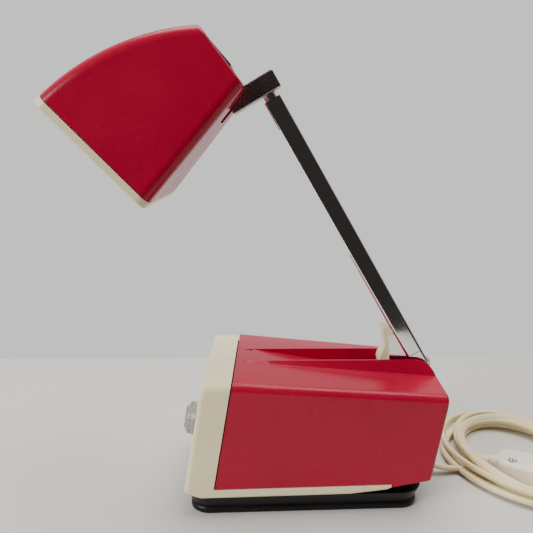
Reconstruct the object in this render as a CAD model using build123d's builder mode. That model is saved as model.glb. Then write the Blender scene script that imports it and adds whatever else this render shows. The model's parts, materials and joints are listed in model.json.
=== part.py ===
from build123d import *

import os
from math import atan, cos, pi, radians, sin, tan

os.makedirs("parts", exist_ok=True)

# Folding desk lamp. Frame: origin at the middle of the underside of the foot, +Z up, +X towards the
# back of the lamp, -Y towards the side with the switch knob. All sizes in millimetres.

# ---------------------------------------------------------------- driving dimensions
LEAN = 10.0  # the front panel and the back of the base both lean back by this angle
BODY_BOTTOM = 12.5  # lower edge of the moulded base
BODY_WALL = 2.5
FRONT_TOP_X, FRONT_TOP_Z = -59.5, 84.2  # top front edge of the front panel
BACK_TOP_X, BACK_TOP_Z = 89.2, 74.4  # top back edge of the cover
HALF_WIDTH_FRONT = 49.2
SIDE_TAPER = 0.0449  # each side comes in by this much per millimetre of length
BAND_DEPTH = 17.8  # depth of the light band round the front of the base
SEAM = 0.8  # open groove between the band and the cover
TRIM_TOP = 18.6
TRIM_END_X = 55.0
CHIN_DEPTH, CHIN_RISE = 13.0, 5.2  # the front panel's underside slopes up to the front
TOP_SLOPE = 0.0867  # the top falls towards the back
CROWN = 1.5  # the top rises by this much from the sides to the middle

PIVOT_X, PIVOT_Z = 79.0, 74.0  # arm hinge
SLOT_HALF = 10.4  # half width of the channel that takes the arm
CREST_Z = 86.6
WELL_FRONT_X = 33.0
SCREW_PLACES = ((-36.0, 31.5), (54.0, 27.5))  # and the same on the other side
SCREW_RADIUS = 1.6

ARM_ANGLE = 119.7  # direction of the arm in the XZ plane, at rest
ARM_ROOT_X, ARM_ROOT_Z = 85.6, 70.4  # zero of the arm's own length scale, on its centre line
ARM_LOW, ARM_HIGH = 13.0, 205.3
ARM_DEPTH, ARM_WIDTH = 11.1, 17.0
ARM_WALL = 1.2

LINK_LOW, LINK_HIGH = 209.0, 220.5  # along the arm
LINK_BACK, LINK_FRONT = -8.5, 24.3  # across the arm
LINK_HALF = 7.5

OPENING_X, OPENING_Z = -113.4, 219.5  # middle of the head's light opening
OPENING_NORMAL = 220.7  # direction that the opening faces
HEAD_PIN_D, HEAD_PIN_U = 73.5, -21.5  # head hinge: depth behind the opening, height across it
HEAD_WALL = 2.2
RIM_DEPTH = 4.6
RIM_GAP = 0.5
HEAD_BACK_D = 86.0
OPENING_SKEW = 0.054
HEAD_HALF_FRONT, HEAD_HALF_BACK = 49.8, 34.0

CORD_WIDTH, CORD_THICK = 6.0, 3.8
HANK_X, HANK_Y = 158.0, 13.0
HANK_HALF_X, HANK_HALF_Y = 51.0, 66.0
HANK_TURN = 12.0  # the hank's long axis is turned by this much
HANK_BAND, HANK_HEIGHT = 18.0, 12.5
PLUG_X, PLUG_Y, PLUG_Z = 151.0, -7.0, 7.0
PLUG_LENGTH, PLUG_WIDTH, PLUG_THICK = 32.0, 25.0, 13.6

KNOB_Y, KNOB_Z = -32.0, 57.5
BUSH_RADIUS, SHAFT_RADIUS = 4.5, 3.0
RUNNING = 0.05  # radial clearance of a shaft in its hole

FOOT_FRONT_X, FOOT_BACK_X = -69.0, 73.5
FOOT_HALF_FRONT, FOOT_HALF_BACK = 45.4, 40.0
FOOT_GAP = 0.0  # the pads sit flush in the underside of the foot
BEAD_HEIGHT = 4.4
PAD_RADIUS = 5.5
PAD_PLACES = ((-57, -32), (-57, 32), (63, -18), (63, 18))
BRACKET_SCREWS = ((49, 0), (57, 0))
GLAND_Z, GLAND_RADIUS = 8.0, 4.2

CORE_X, CORE_Z = -8.0, 24.0
CORE_LENGTH, CORE_HEIGHT, CORE_STACK = 48.0, 40.0, 28.0

PIN_RADIUS = 2.5
CHEEK_IN, CHEEK_OUT = 6.4, 7.6
EAR_IN, EAR_OUT = 8.7, 9.9
STEM_RADIUS = 3.0
HEAD_PIN_RADIUS = 2.0


def front_x(z):
    """The leaning front face of the base at height z."""
    return FRONT_TOP_X - (FRONT_TOP_Z - z) * tan(radians(LEAN))


def back_x(z):
    """The leaning back face of the base at height z."""
    return BACK_TOP_X - (BACK_TOP_Z - z) * tan(radians(LEAN))


def top_z(x):
    """Height of the top of the cover at its sides."""
    return BACK_TOP_Z + (BACK_TOP_X - x) * TOP_SLOPE


def floor_z(x):
    """Floor of the channel that the folded arm lies in."""
    return 82.0 - 0.161 * x


def half_width(x):
    return HALF_WIDTH_FRONT - (x - FRONT_TOP_X) * SIDE_TAPER


def seam_x(z):
    """The back edge of the light band round the front of the base."""
    return front_x(z) + BAND_DEPTH


def direction(angle):
    return Vector(cos(radians(angle)), 0, sin(radians(angle)))


# Side planes: the sketch's X and Y run along and across the arm, and into and across the head.
base_side = Plane.XZ
arm_side = Plane((ARM_ROOT_X, 0, ARM_ROOT_Z), x_dir=direction(ARM_ANGLE), z_dir=(0, -1, 0))
head_side = Plane(
    (OPENING_X, 0, OPENING_Z), x_dir=direction(OPENING_NORMAL - 180), z_dir=(0, -1, 0)
)
head_face = Plane(
    (OPENING_X, 0, OPENING_Z), x_dir=(0, 1, 0), z_dir=direction(OPENING_NORMAL - 180)
)
head_plan = Plane(
    (OPENING_X, 0, OPENING_Z),
    x_dir=direction(OPENING_NORMAL - 180),
    z_dir=direction(OPENING_NORMAL - 90),
)
panel_face = Plane(
    (front_x(KNOB_Z), KNOB_Y, KNOB_Z), x_dir=(0, -1, 0), z_dir=direction(180 - LEAN)
)
head_pin_world = head_side.from_local_coords(Vector(HEAD_PIN_D, HEAD_PIN_U, 0))
head_pin_on_arm = arm_side.to_local_coords(head_pin_world)
print("head hinge at", [round(v, 2) for v in head_pin_world])


def save(part, name):
    part.label = name
    export_step(part, f"parts/{name}.step")


def plan_outline(inset, x0=-90.0, x1=110.0):
    """Corners of the tapered plan of the base, moved in by the inset."""
    return [
        (x0, -(half_width(x0) - inset)),
        (x1, -(half_width(x1) - inset)),
        (x1, half_width(x1) - inset),
        (x0, half_width(x0) - inset),
    ]


slope_plane = Plane(
    (-90, 0, top_z(-90) + CROWN), x_dir=(0, 1, 0), z_dir=(cos(atan(TOP_SLOPE)), 0, -sin(atan(TOP_SLOPE)))
)


def crowned(length=200):
    """A long bar under the crowned, sloping top, to cut a moulding's top to shape."""
    with BuildPart(mode=Mode.PRIVATE) as bar:
        with BuildSketch(slope_plane):
            with BuildLine():
                ThreePointArc((-50, -CROWN), (0, 0), (50, -CROWN))
                Polyline((50, -CROWN), (50, -90), (-50, -90), (-50, -CROWN))
            make_face()
        extrude(amount=length)
    return bar.part


def tapered(inset):
    """A tall block with the tapered plan of the base, moved in by the inset."""
    with BuildPart(mode=Mode.PRIVATE) as block:
        with BuildSketch(Plane.XY):
            Polygon(*plan_outline(inset), align=None)
        extrude(amount=100)
    return block.part


def side_slab(points, half, plane=Plane.XZ):
    """A slab with the given side outline, as thick as twice the half width."""
    with BuildPart(mode=Mode.PRIVATE) as slab:
        with BuildSketch(plane):
            Polygon(*points, align=None)
        extrude(amount=half, both=True)
    return slab.part


def side_edges(part, low_z, half):
    """The two long edges between the top and the sides."""
    return [
        e
        for e in part.edges()
        if e.center().Z > low_z and abs(e.center().Y) > half and e.bounding_box().size.X > 12
    ]


# ---------------------------------------------------------------- base: red cover
fin_front_x, fin_back_x = -38.0, BACK_TOP_X + 2.5

with BuildPart() as base_cover:
    add(
        side_slab(
            [
                (seam_x(TRIM_TOP + 0.4) + SEAM, TRIM_TOP + 0.4),
                (seam_x(95) + SEAM, 95),
                (back_x(95), 95),
                (back_x(21), 21),
                (TRIM_END_X + 0.6, 17),
                (TRIM_END_X + 0.6, TRIM_TOP + 0.4),
            ],
            60,
        )
    )
    add(tapered(0), mode=Mode.INTERSECT)
    add(crowned(), mode=Mode.INTERSECT)
    fillet(side_edges(base_cover.part, 70, 35), 4.5)
    back_edges = [
        e for e in base_cover.edges() if e.center().X > 76 and e.center().Z > 30 and e.length > 20
    ]
    fillet(back_edges, 2.5)
    # the hollow inside, open below and to the front
    hollow = side_slab(
        [
            (-70, 0),
            (-70, top_z(-70) - BODY_WALL),
            (BACK_TOP_X - 3, top_z(BACK_TOP_X) - BODY_WALL),
            (back_x(10) - BODY_WALL, 10),
        ],
        60,
    )
    add(hollow & tapered(BODY_WALL), mode=Mode.SUBTRACT)
    # two fins that grow out of the top, with the arm's channel between them
    for side in (-1, 1):
        for x, crease, foot in ((fin_front_x, 13.0, 14.0), (fin_back_x, 14.6, 31.0)):
            surface = top_z(x) + CROWN - 0.4
            crest = max(CREST_Z, surface + 0.3)
            with BuildSketch(Plane((x, 0, 0), x_dir=(0, 1, 0), z_dir=(1, 0, 0))):
                with BuildLine():
                    Polyline(
                        (side * SLOT_HALF, surface - 3),
                        (side * SLOT_HALF, crest),
                        (side * (SLOT_HALF + 1.2), crest),
                        (side * crease, surface + 0.2 + 0.09 * (crest - surface)),
                        (side * foot, surface - 0.3),
                        (side * foot, surface - 3),
                        close=True,
                    )
                make_face()
        loft(ruled=True)
    # the fins round off at the back, about the hinge
    with BuildSketch(base_side):
        with BuildLine():
            Line((74.5, 100), (74.5, CREST_Z))
            ThreePointArc((74.5, CREST_Z), (84.0, 82.3), (87.8, 73))
            Polyline((87.8, 73), (87.6, 60), (100, 60), (100, 100), (74.5, 100))
        make_face()
    extrude(amount=60, both=True, mode=Mode.SUBTRACT)
    # the channel's floor, then the channel and the well that the arm's root swings in
    with BuildSketch(base_side):
        Polygon(
            (-30, floor_z(-30)),
            (WELL_FRONT_X, floor_z(WELL_FRONT_X)),
            (WELL_FRONT_X, floor_z(WELL_FRONT_X) - BODY_WALL),
            (-30, floor_z(-30) - BODY_WALL - 2),
            align=None,
        )
    extrude(amount=SLOT_HALF + 1.5, both=True)
    with BuildSketch(base_side):
        Polygon(
            (-45, floor_z(-45)),
            (WELL_FRONT_X, floor_z(WELL_FRONT_X)),
            (WELL_FRONT_X, 60),
            (81.5, 60),
            (81.5, 68),
            (100, 68),
            (100, 100),
            (-45, 100),
            align=None,
        )
    extrude(amount=SLOT_HALF, both=True, mode=Mode.SUBTRACT)
    # four screw posts, down from the top
    for x, y in SCREW_PLACES:
        with BuildSketch(Plane.XY.offset(14)):
            with Locations((x, y), (x, -y)):
                Circle(4)
        extrude(amount=top_z(x) - 15)
        with BuildSketch(Plane.XY.offset(14)):
            with Locations((x, y), (x, -y)):
                Circle(SCREW_RADIUS)
        extrude(amount=16, mode=Mode.SUBTRACT)
save(base_cover.part, "base_cover")


# ---------------------------------------------------------------- base: light front panel with side trims
with BuildPart() as front_panel:
    add(
        side_slab(
            [
                (front_x(BODY_BOTTOM) + CHIN_DEPTH, BODY_BOTTOM),
                (front_x(BODY_BOTTOM + CHIN_RISE), BODY_BOTTOM + CHIN_RISE),
                (front_x(95), 95),
                (seam_x(95), 95),
                (seam_x(TRIM_TOP), TRIM_TOP),
                (TRIM_END_X, TRIM_TOP),
                (TRIM_END_X, 17),
                (TRIM_END_X - 4, 14.6),
                (30, BODY_BOTTOM),
            ],
            60,
        )
    )
    add(tapered(0), mode=Mode.INTERSECT)
    add(crowned(), mode=Mode.INTERSECT)
    add(side_slab([(-90, 0), (-90, 84.1), (-41, 85.7), (-30, 100), (100, 100), (100, 0)], 60), mode=Mode.INTERSECT)
    fillet(side_edges(front_panel.part, 70, 35), 4.5)
    front_edges = [
        e for e in front_panel.edges() if e.center().X < -56 and e.length > 20 and e.center().Z > 20
    ]
    fillet(front_edges, 3)
    bottom_edges = [e for e in front_panel.edges() if e.center().Z < BODY_BOTTOM + 0.2 and e.length > 20]
    fillet(bottom_edges, 2.2)
    # hollow behind the front and between the trims
    hollow = side_slab(
        [
            (front_x(0) + CHIN_DEPTH + 3, 0),
            (front_x(0) + CHIN_DEPTH + 3, BODY_BOTTOM + 2),
            (front_x(20) + BODY_WALL, BODY_BOTTOM + CHIN_RISE + 2.6),
            (front_x(84) + BODY_WALL, top_z(-60) - BODY_WALL - 2),
            (-30, top_z(-40) - BODY_WALL),
            (100, top_z(-40) - BODY_WALL),
            (100, 0),
        ],
        60,
    )
    add(hollow & tapered(BODY_WALL), mode=Mode.SUBTRACT)
    # hole for the switch's bush
    with BuildSketch(panel_face):
        Circle(BUSH_RADIUS)
    extrude(amount=12, both=True, mode=Mode.SUBTRACT)
save(front_panel.part, "front_panel")


# A strip behind the open seam: the cover's dark joggle that the band slides over.
with BuildPart() as seam_strip:
    add(
        side_slab(
            [
                (seam_x(TRIM_TOP + 2) - 4, TRIM_TOP + 2),
                (seam_x(82) - 4, 82),
                (seam_x(82) + 5, 82),
                (seam_x(TRIM_TOP + 2) + 5, TRIM_TOP + 2),
            ],
            60,
        )
    )
    add(tapered(BODY_WALL + 0.1), mode=Mode.INTERSECT)
    add(side_slab([(-90, 0), (-90, 81.4), (-20, 80.5), (-20, 0)], 60), mode=Mode.INTERSECT)
    inner = side_slab([(-90, 0), (-90, 79.6), (-20, 78.7), (-20, 0)], 60)
    add(inner & tapered(BODY_WALL + 1.9), mode=Mode.SUBTRACT)
save(seam_strip.part, "seam_strip")


# ---------------------------------------------------------------- base: foot
def foot_outline(grow):
    """Rounded, tapered plan of the foot."""
    front, back = FOOT_FRONT_X - grow, FOOT_BACK_X + grow
    with BuildSketch(mode=Mode.PRIVATE) as outline:
        Polygon(
            (front, -(FOOT_HALF_FRONT + grow)),
            (back, -(FOOT_HALF_BACK + grow)),
            (back, FOOT_HALF_BACK + grow),
            (front, FOOT_HALF_FRONT + grow),
            align=None,
        )
        fillet(outline.vertices(), 12 + grow)
    return outline.sketch


def foot_slice(grow_low, z_low, grow_high, z_high):
    """A solid between two levels, with the foot's plan growing on the way up."""
    with BuildPart(mode=Mode.PRIVATE) as piece:
        with BuildSketch(Plane.XY.offset(z_low)):
            add(foot_outline(grow_low))
        with BuildSketch(Plane.XY.offset(z_high)):
            add(foot_outline(grow_high))
        loft(ruled=True)
    return piece.part


def rounds(places, radius, z, height):
    """Upright cylinders of one size at several places."""
    with BuildPart(mode=Mode.PRIVATE) as group:
        with BuildSketch(Plane.XY.offset(z)):
            with Locations(*places):
                Circle(radius)
        extrude(amount=height)
    return group.part


def cross_pin(plane, x, y, radius, half):
    """A pin across the lamp, centred on the middle plane."""
    with BuildPart(mode=Mode.PRIVATE) as pin:
        with BuildSketch(plane):
            with Locations((x, y)):
                Circle(radius)
        extrude(amount=half, both=True)
    return pin.part


def pair_of_plates(points, plane, inner, outer):
    """Two equal plates, one on each side of the middle plane."""
    return side_slab(points, outer, plane) - side_slab(
        [(p[0] * 1.0, p[1] * 1.0) for p in ((-500, -500), (500, -500), (500, 500), (-500, 500))],
        inner,
        plane,
    )


screw_places = [(x, side * y) for x, y in SCREW_PLACES for side in (-1, 1)]

with BuildPart() as foot_plinth:
    with BuildSketch(Plane.XY.offset(FOOT_GAP)):
        add(foot_outline(0))
    extrude(amount=BEAD_HEIGHT)
    fillet(foot_plinth.edges().group_by(Axis.Z)[-1], 2.0)
    fillet(foot_plinth.edges().group_by(Axis.Z)[0], 1.2)
    # the skirt flares out up to the moulded base; a wall inside the mouldings locates them
    add(foot_slice(-2.4, FOOT_GAP + 1, 2.4, BODY_BOTTOM - 0.1))
    locating_wall = foot_slice(-2.6, BODY_BOTTOM - 1, -2.6, 20.5)
    behind_chin = side_slab([(-54, 0), (-54, 30), (100, 30), (100, 0)], 60, base_side)
    add(locating_wall & behind_chin)
    add(foot_slice(-4.8, FOOT_GAP + 2.4, -4.8, 30), mode=Mode.SUBTRACT)
    add(rounds(screw_places, 4.4, FOOT_GAP + 1, 14 - FOOT_GAP - 1))
    add(rounds(screw_places, SCREW_RADIUS + 0.2, -1, 30), mode=Mode.SUBTRACT)
    add(rounds(BRACKET_SCREWS, 1.55, 1.6, 10), mode=Mode.SUBTRACT)
    add(rounds(screw_places, 3.6, -1, FOOT_GAP + 5), mode=Mode.SUBTRACT)
    add(rounds(PAD_PLACES, PAD_RADIUS, -1, FOOT_GAP + 1.8), mode=Mode.SUBTRACT)
    with BuildSketch(Plane.YZ.offset(50)):
        with Locations((0, GLAND_Z)):
            Circle(GLAND_RADIUS)
    extrude(amount=50, mode=Mode.SUBTRACT)
save(foot_plinth.part, "foot_plinth")

with BuildPart() as rubber_feet:
    add(rounds(PAD_PLACES, PAD_RADIUS - 0.05, 0, FOOT_GAP + 0.8))
    fillet(rubber_feet.edges().group_by(Axis.Z)[0], 0.3)
save(rubber_feet.part, "rubber_feet")

with BuildPart() as base_screws:
    add(rounds(screw_places, 3.2, FOOT_GAP + 1.8, 2.2))
    add(rounds(screw_places, SCREW_RADIUS, FOOT_GAP + 3, 24))
    with BuildSketch(Plane.XY):
        with Locations(*screw_places):
            Rectangle(5, 0.9)
    extrude(amount=FOOT_GAP + 2.8, mode=Mode.SUBTRACT)
save(base_screws.part, "base_screws")


# ---------------------------------------------------------------- base: transformer and terminals
window_in, window_out = CORE_LENGTH / 8 + 1, CORE_LENGTH * 3 / 8 - 1
window_half_height = CORE_HEIGHT / 2 - 8
with BuildPart() as transformer_core:
    with BuildSketch(base_side):
        with Locations((CORE_X, CORE_Z)):
            Rectangle(CORE_LENGTH, CORE_HEIGHT)
        with Locations(
            (CORE_X - (window_in + window_out) / 2, CORE_Z),
            (CORE_X + (window_in + window_out) / 2, CORE_Z),
        ):
            Rectangle(window_out - window_in, 2 * window_half_height, mode=Mode.SUBTRACT)
    extrude(amount=CORE_STACK / 2, both=True)
save(transformer_core.part, "transformer_core")

with BuildPart() as transformer_coil:
    with BuildSketch(Plane.XY.offset(CORE_Z - window_half_height + 0.2)):
        with Locations((CORE_X, 0)):
            Rectangle(2 * window_out - 0.4, CORE_STACK + 18)
            Rectangle(2 * window_in + 0.4, CORE_STACK + 0.4, mode=Mode.SUBTRACT)
    extrude(amount=2 * window_half_height - 0.4)
save(transformer_coil.part, "transformer_coil")

strap_half, strap_top = CORE_LENGTH / 2 + 0.1, CORE_Z + CORE_HEIGHT / 2 + 0.1
with BuildPart() as transformer_strap:
    with BuildSketch(base_side):
        with BuildLine():
            Polyline(
                (CORE_X - strap_half - 9, 3.1),
                (CORE_X - strap_half, 3.1),
                (CORE_X - strap_half, strap_top),
                (CORE_X + strap_half, strap_top),
                (CORE_X + strap_half, 3.1),
                (CORE_X + strap_half + 9, 3.1),
                (CORE_X + strap_half + 9, 4.3),
                (CORE_X + strap_half + 1.2, 4.3),
                (CORE_X + strap_half + 1.2, strap_top + 1.2),
                (CORE_X - strap_half - 1.2, strap_top + 1.2),
                (CORE_X - strap_half - 1.2, 4.3),
                (CORE_X - strap_half - 9, 4.3),
                close=True,
            )
        make_face()
    extrude(amount=9, both=True)
save(transformer_strap.part, "transformer_strap")

with BuildPart() as terminal_block:
    with BuildSketch(Plane.XY.offset(3.1)):
        with Locations((36, 20)):
            Rectangle(12, 24)
    extrude(amount=11)
    with BuildSketch(Plane.XY.offset(14.1)):
        with Locations((36, 12), (36, 20), (36, 28)):
            Circle(2.2)
    extrude(amount=-6, mode=Mode.SUBTRACT)
save(terminal_block.part, "terminal_block")


# ---------------------------------------------------------------- base: arm hinge
with BuildPart() as hinge_bracket:
    add(
        pair_of_plates(
            [
                (47, 3.1), (61, 3.1), (61, 22), (72, 32), (79, 60), (80.5, 68), (85, 72),
                (84, 78.5), (79, 80.5), (74, 78.5), (72.6, 72), (62, 44), (47, 20),
            ],
            base_side,
            EAR_IN,
            EAR_OUT,
        )
    )
    with BuildSketch(Plane.XY.offset(3.1)):
        with Locations((53, 0)):
            Rectangle(16, 2 * EAR_OUT)
        with Locations(*BRACKET_SCREWS):
            Circle(1.55, mode=Mode.SUBTRACT)
    extrude(amount=EAR_OUT - EAR_IN)
    add(cross_pin(base_side, PIVOT_X, PIVOT_Z, PIN_RADIUS, 20), mode=Mode.SUBTRACT)
save(hinge_bracket.part, "hinge_bracket")

with BuildPart() as hinge_bracket_screws:
    top = 3.1 + EAR_OUT - EAR_IN
    add(rounds(BRACKET_SCREWS, 3.0, top, 1.8))
    add(rounds(BRACKET_SCREWS, 1.5, 1.8, top - 1.6))
save(hinge_bracket_screws.part, "hinge_bracket_screws")

with BuildPart() as arm_pivot_pin:
    add(cross_pin(base_side, PIVOT_X, PIVOT_Z, PIN_RADIUS, EAR_OUT + 0.2))
    fillet(arm_pivot_pin.edges().filter_by(GeomType.CIRCLE), 0.3)
save(arm_pivot_pin.part, "arm_pivot_pin")

with BuildPart() as friction_washers:
    add(cross_pin(base_side, PIVOT_X, PIVOT_Z, 6.2, EAR_IN - 0.05))
    add(cross_pin(base_side, PIVOT_X, PIVOT_Z, PIN_RADIUS + RUNNING, 20), mode=Mode.SUBTRACT)
    add(cross_pin(base_side, PIVOT_X, PIVOT_Z, 12, CHEEK_OUT + 0.05), mode=Mode.SUBTRACT)
save(friction_washers.part, "friction_washers")


# ---------------------------------------------------------------- base: switch and knob
def panel_round(radius, low, high, taper=0):
    """A round piece on the switch's axis, between two heights above the front panel."""
    with BuildPart(mode=Mode.PRIVATE) as piece:
        with BuildSketch(panel_face.offset(low)):
            Circle(radius)
        extrude(amount=high - low, taper=taper)
    return piece.part


with BuildPart() as switch_body:
    add(panel_round(9.5, -14, -BODY_WALL - 0.6))
    add(panel_round(BUSH_RADIUS - 0.1, -BODY_WALL - 0.6, 3.0))
    with BuildSketch(panel_face.offset(-14)):
        with Locations((-5, 4), (0, 6), (5, 4)):
            Rectangle(1.2, 3)
    extrude(amount=-3.4)
    add(panel_round(SHAFT_RADIUS + RUNNING, -11, 10), mode=Mode.SUBTRACT)
save(switch_body.part, "switch_body")

with BuildPart() as switch_nut:
    with BuildSketch(panel_face.offset(0.1)):
        RegularPolygon(7, 6)
        Circle(BUSH_RADIUS, mode=Mode.SUBTRACT)
    extrude(amount=1.9)
save(switch_nut.part, "switch_nut")

with BuildPart() as switch_shaft:
    add(panel_round(SHAFT_RADIUS, -10.8, 4.4))
save(switch_shaft.part, "switch_shaft")

with BuildPart() as switch_knob:
    add(panel_round(10.3, 0.7, 5.6, taper=20))
    fillet(switch_knob.edges().filter_by(GeomType.CIRCLE).sort_by(Axis.X)[0], 0.8)
    # a raised grip across the face
    with BuildSketch(panel_face.offset(4)):
        RectangleRounded(3.4, 14, 1.2)
    extrude(amount=2.8)
    add(panel_round(8.0, 0.5, 3.2), mode=Mode.SUBTRACT)
    add(panel_round(SHAFT_RADIUS, 0.5, 4.45), mode=Mode.SUBTRACT)
save(switch_knob.part, "switch_knob")


# ---------------------------------------------------------------- arm
def arm_box(low, high, half_depth, half_width_y, offset=0.0):
    """A bar along the arm, between two places on its length scale."""
    return side_slab(
        [
            (low, offset - half_depth),
            (high, offset - half_depth),
            (high, offset + half_depth),
            (low, offset + half_depth),
        ],
        half_width_y,
        arm_side,
    )


half_depth, arm_half = ARM_DEPTH / 2, ARM_WIDTH / 2
cheek_outline = [
    (57.7, 102.5), (58.6, 91.6), (58.4, 84.0), (65.5, 74.5), (73.0, 71.0), (85.0, 71.0),
    (85.6, 76.0), (84.6, 83.0), (70.0, 106.0), (61.5, 104.0),
]
with BuildPart() as arm_tube:
    add(arm_box(ARM_LOW, ARM_HIGH, half_depth, arm_half))
    long_edges = [e for e in arm_tube.edges() if e.length > 100]
    fillet(long_edges, 1.8)
    # shallow panel pressed into each side
    add(
        arm_box(ARM_LOW + 9, ARM_HIGH - 7, half_depth - 2.0, arm_half + 5)
        - arm_box(0, 300, 20, arm_half - 0.5),
        mode=Mode.SUBTRACT,
    )
    add(arm_box(0, 300, half_depth - ARM_WALL, arm_half - ARM_WALL), mode=Mode.SUBTRACT)
    # cheeks that carry the hinge pin
    add(pair_of_plates(cheek_outline, base_side, CHEEK_IN, CHEEK_OUT))
    add(
        cross_pin(base_side, PIVOT_X, PIVOT_Z, 6.8, CHEEK_OUT)
        - cross_pin(base_side, PIVOT_X, PIVOT_Z, 10, CHEEK_IN)
    )
    add(cross_pin(base_side, PIVOT_X, PIVOT_Z, PIN_RADIUS + RUNNING, 20), mode=Mode.SUBTRACT)
    for place in (24, 36):
        add(cross_pin(arm_side, place, 0, 1.5, 20), mode=Mode.SUBTRACT)
save(arm_tube.part, "arm_tube")

with BuildPart() as arm_root_block:
    block_half = CHEEK_IN - 0.05
    with BuildSketch(base_side):
        with BuildLine():
            Polyline(
                (54.2, 106.8),
                (60.2, 106.0),
                (60.4, 103.6),
                (64.0, 99.0),
                (74.0, 96.0),
                (85.4, 84.6),
                (85.6, 77.0),
                (84.5, 70.6),
                (73.0, 70.0),
                (60.0, 72.0),
                (53.5, 78.5),
                (52.3, 83.8),
            )
            Spline((52.3, 83.8), (54.3, 90.0), (55.9, 95.5), (55.0, 100.6), (54.2, 106.8))
        make_face()
    extrude(amount=block_half, both=True)
    add(cross_pin(base_side, PIVOT_X, PIVOT_Z, 6.6, block_half))
    add(arm_box(ARM_LOW - 0.1, 300, half_depth + 0.1, 20), mode=Mode.SUBTRACT)
    add(arm_box(ARM_LOW - 1, 42, half_depth - ARM_WALL - 0.1, block_half))
    add(cross_pin(base_side, PIVOT_X, PIVOT_Z, PIN_RADIUS + RUNNING, 20), mode=Mode.SUBTRACT)
    for place in (24, 36):
        add(cross_pin(arm_side, place, 0, 1.5, 20), mode=Mode.SUBTRACT)
save(arm_root_block.part, "arm_root_block")

with BuildPart() as arm_rivets:
    for place in (24, 36):
        add(cross_pin(arm_side, place, 0, 1.5, arm_half - 0.5))
save(arm_rivets.part, "arm_rivets")

with BuildPart() as arm_lead:
    with BuildSketch(Plane(arm_side.from_local_coords(Vector(46, 0, 0)), z_dir=direction(ARM_ANGLE))):
        Circle(2.3)
    extrude(amount=132)
save(arm_lead.part, "arm_lead")


def arm_round(radius, low, high):
    """A round piece on the arm's centre line."""
    with BuildPart(mode=Mode.PRIVATE) as piece:
        centre = arm_side.from_local_coords(Vector(low, 0, 0))
        with BuildSketch(Plane(centre, z_dir=direction(ARM_ANGLE))):
            Circle(radius)
        extrude(amount=high - low)
    return piece.part


with BuildPart() as arm_end_bush:
    add(arm_box(189, ARM_HIGH, half_depth - ARM_WALL - 0.02, arm_half - ARM_WALL - 0.02))
    add(arm_round(STEM_RADIUS + RUNNING, 150, 250), mode=Mode.SUBTRACT)
save(arm_end_bush.part, "arm_end_bush")


# ---------------------------------------------------------------- swivel link
stem_top = LINK_HIGH - 3.5
with BuildPart() as neck_stem:
    add(arm_round(STEM_RADIUS, 183, stem_top))
    add(arm_round(4.4, ARM_HIGH + 0.2, LINK_LOW))
    fillet(neck_stem.edges().filter_by(GeomType.CIRCLE).group_by(SortBy.RADIUS)[-1], 0.5)
save(neck_stem.part, "neck_stem")

with BuildPart() as neck_nut:
    add(arm_round(4.1, 184.5, 188.8))
    add(arm_round(STEM_RADIUS, 150, 250), mode=Mode.SUBTRACT)
save(neck_nut.part, "neck_nut")

link_pin_s, link_pin_t = head_pin_on_arm.X, head_pin_on_arm.Y
with BuildPart() as head_link:
    add(
        side_slab(
            [
                (LINK_LOW, LINK_BACK),
                (LINK_HIGH, LINK_BACK),
                (LINK_HIGH, LINK_FRONT),
                (LINK_LOW, LINK_FRONT),
            ],
            LINK_HALF,
            arm_side,
        )
    )
    fillet(head_link.edges(), 1.0)
    add(cross_pin(arm_side, link_pin_s, link_pin_t, 4.8, LINK_HALF))
    add(
        side_slab(
            [
                (LINK_HIGH - 3, link_pin_t - 8),
                (LINK_HIGH + 0.2, link_pin_t - 8),
                (link_pin_s + 4.3, link_pin_t - 2),
                (link_pin_s, link_pin_t),
                (LINK_HIGH - 5, link_pin_t + 0.5),
            ],
            LINK_HALF,
            arm_side,
        )
    )
    add(
        cross_pin(arm_side, link_pin_s, link_pin_t, HEAD_PIN_RADIUS + RUNNING, 20),
        mode=Mode.SUBTRACT,
    )
    add(arm_round(STEM_RADIUS, 200, stem_top), mode=Mode.SUBTRACT)
save(head_link.part, "head_link")


# ---------------------------------------------------------------- head
def underside_u(d):
    return -40.9 + 0.163 * d


def front_cut(d):
    """A line parallel to the opening, which leans against the head's own axes."""
    return [(d - OPENING_SKEW * u - 3.1, u) for u in (-60, 60)]


def head_form(inset, d_front, d_back=None):
    """The head's outer form, moved in by the inset, between two depths."""
    top = (
        (-10.0, 38.8 - inset),
        (49.2, 33.1 - inset * 1.06),
        (87.3 - inset, 13.4 - inset * 0.9),
    )
    with BuildPart(mode=Mode.PRIVATE) as form:
        with BuildSketch(head_side):
            with BuildLine():
                ThreePointArc(*top)
                Polyline(
                    top[2],
                    (84.7 - inset, underside_u(84.7 - inset) + inset * 1.02),
                    (-10.0, underside_u(-10.0) + inset * 1.02),
                    top[0],
                )
            make_face()
        extrude(amount=60, both=True)
        slope = (HEAD_HALF_FRONT - HEAD_HALF_BACK) / HEAD_BACK_D
        with BuildSketch(head_plan.offset(-60)):
            Polygon(
                (-15, -(HEAD_HALF_FRONT + 15 * slope - inset)),
                (95, -(HEAD_HALF_FRONT - 95 * slope - inset)),
                (95, HEAD_HALF_FRONT - 95 * slope - inset),
                (-15, HEAD_HALF_FRONT + 15 * slope - inset),
                align=None,
            )
        extrude(amount=120, mode=Mode.INTERSECT)
        lengthways = direction(OPENING_NORMAL - 180)
        corners = [
            e
            for e in form.edges()
            if abs(e.center().Y) > 20 and abs(e.tangent_at(0.5).dot(lengthways)) > 0.8
        ]
        fillet(corners, max(7.0 - inset, 2.0))
        low, high = front_cut(d_front)
        back = [(110, 60), (110, -60)] if d_back is None else front_cut(d_back)[::-1]
        add(side_slab([low, high, *back], 70, head_side), mode=Mode.INTERSECT)
    return form.part


def head_box(d0, d1, u0, u1, half):
    return side_slab([(d0, u0), (d1, u0), (d1, u1), (d0, u1)], half, head_side)


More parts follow.
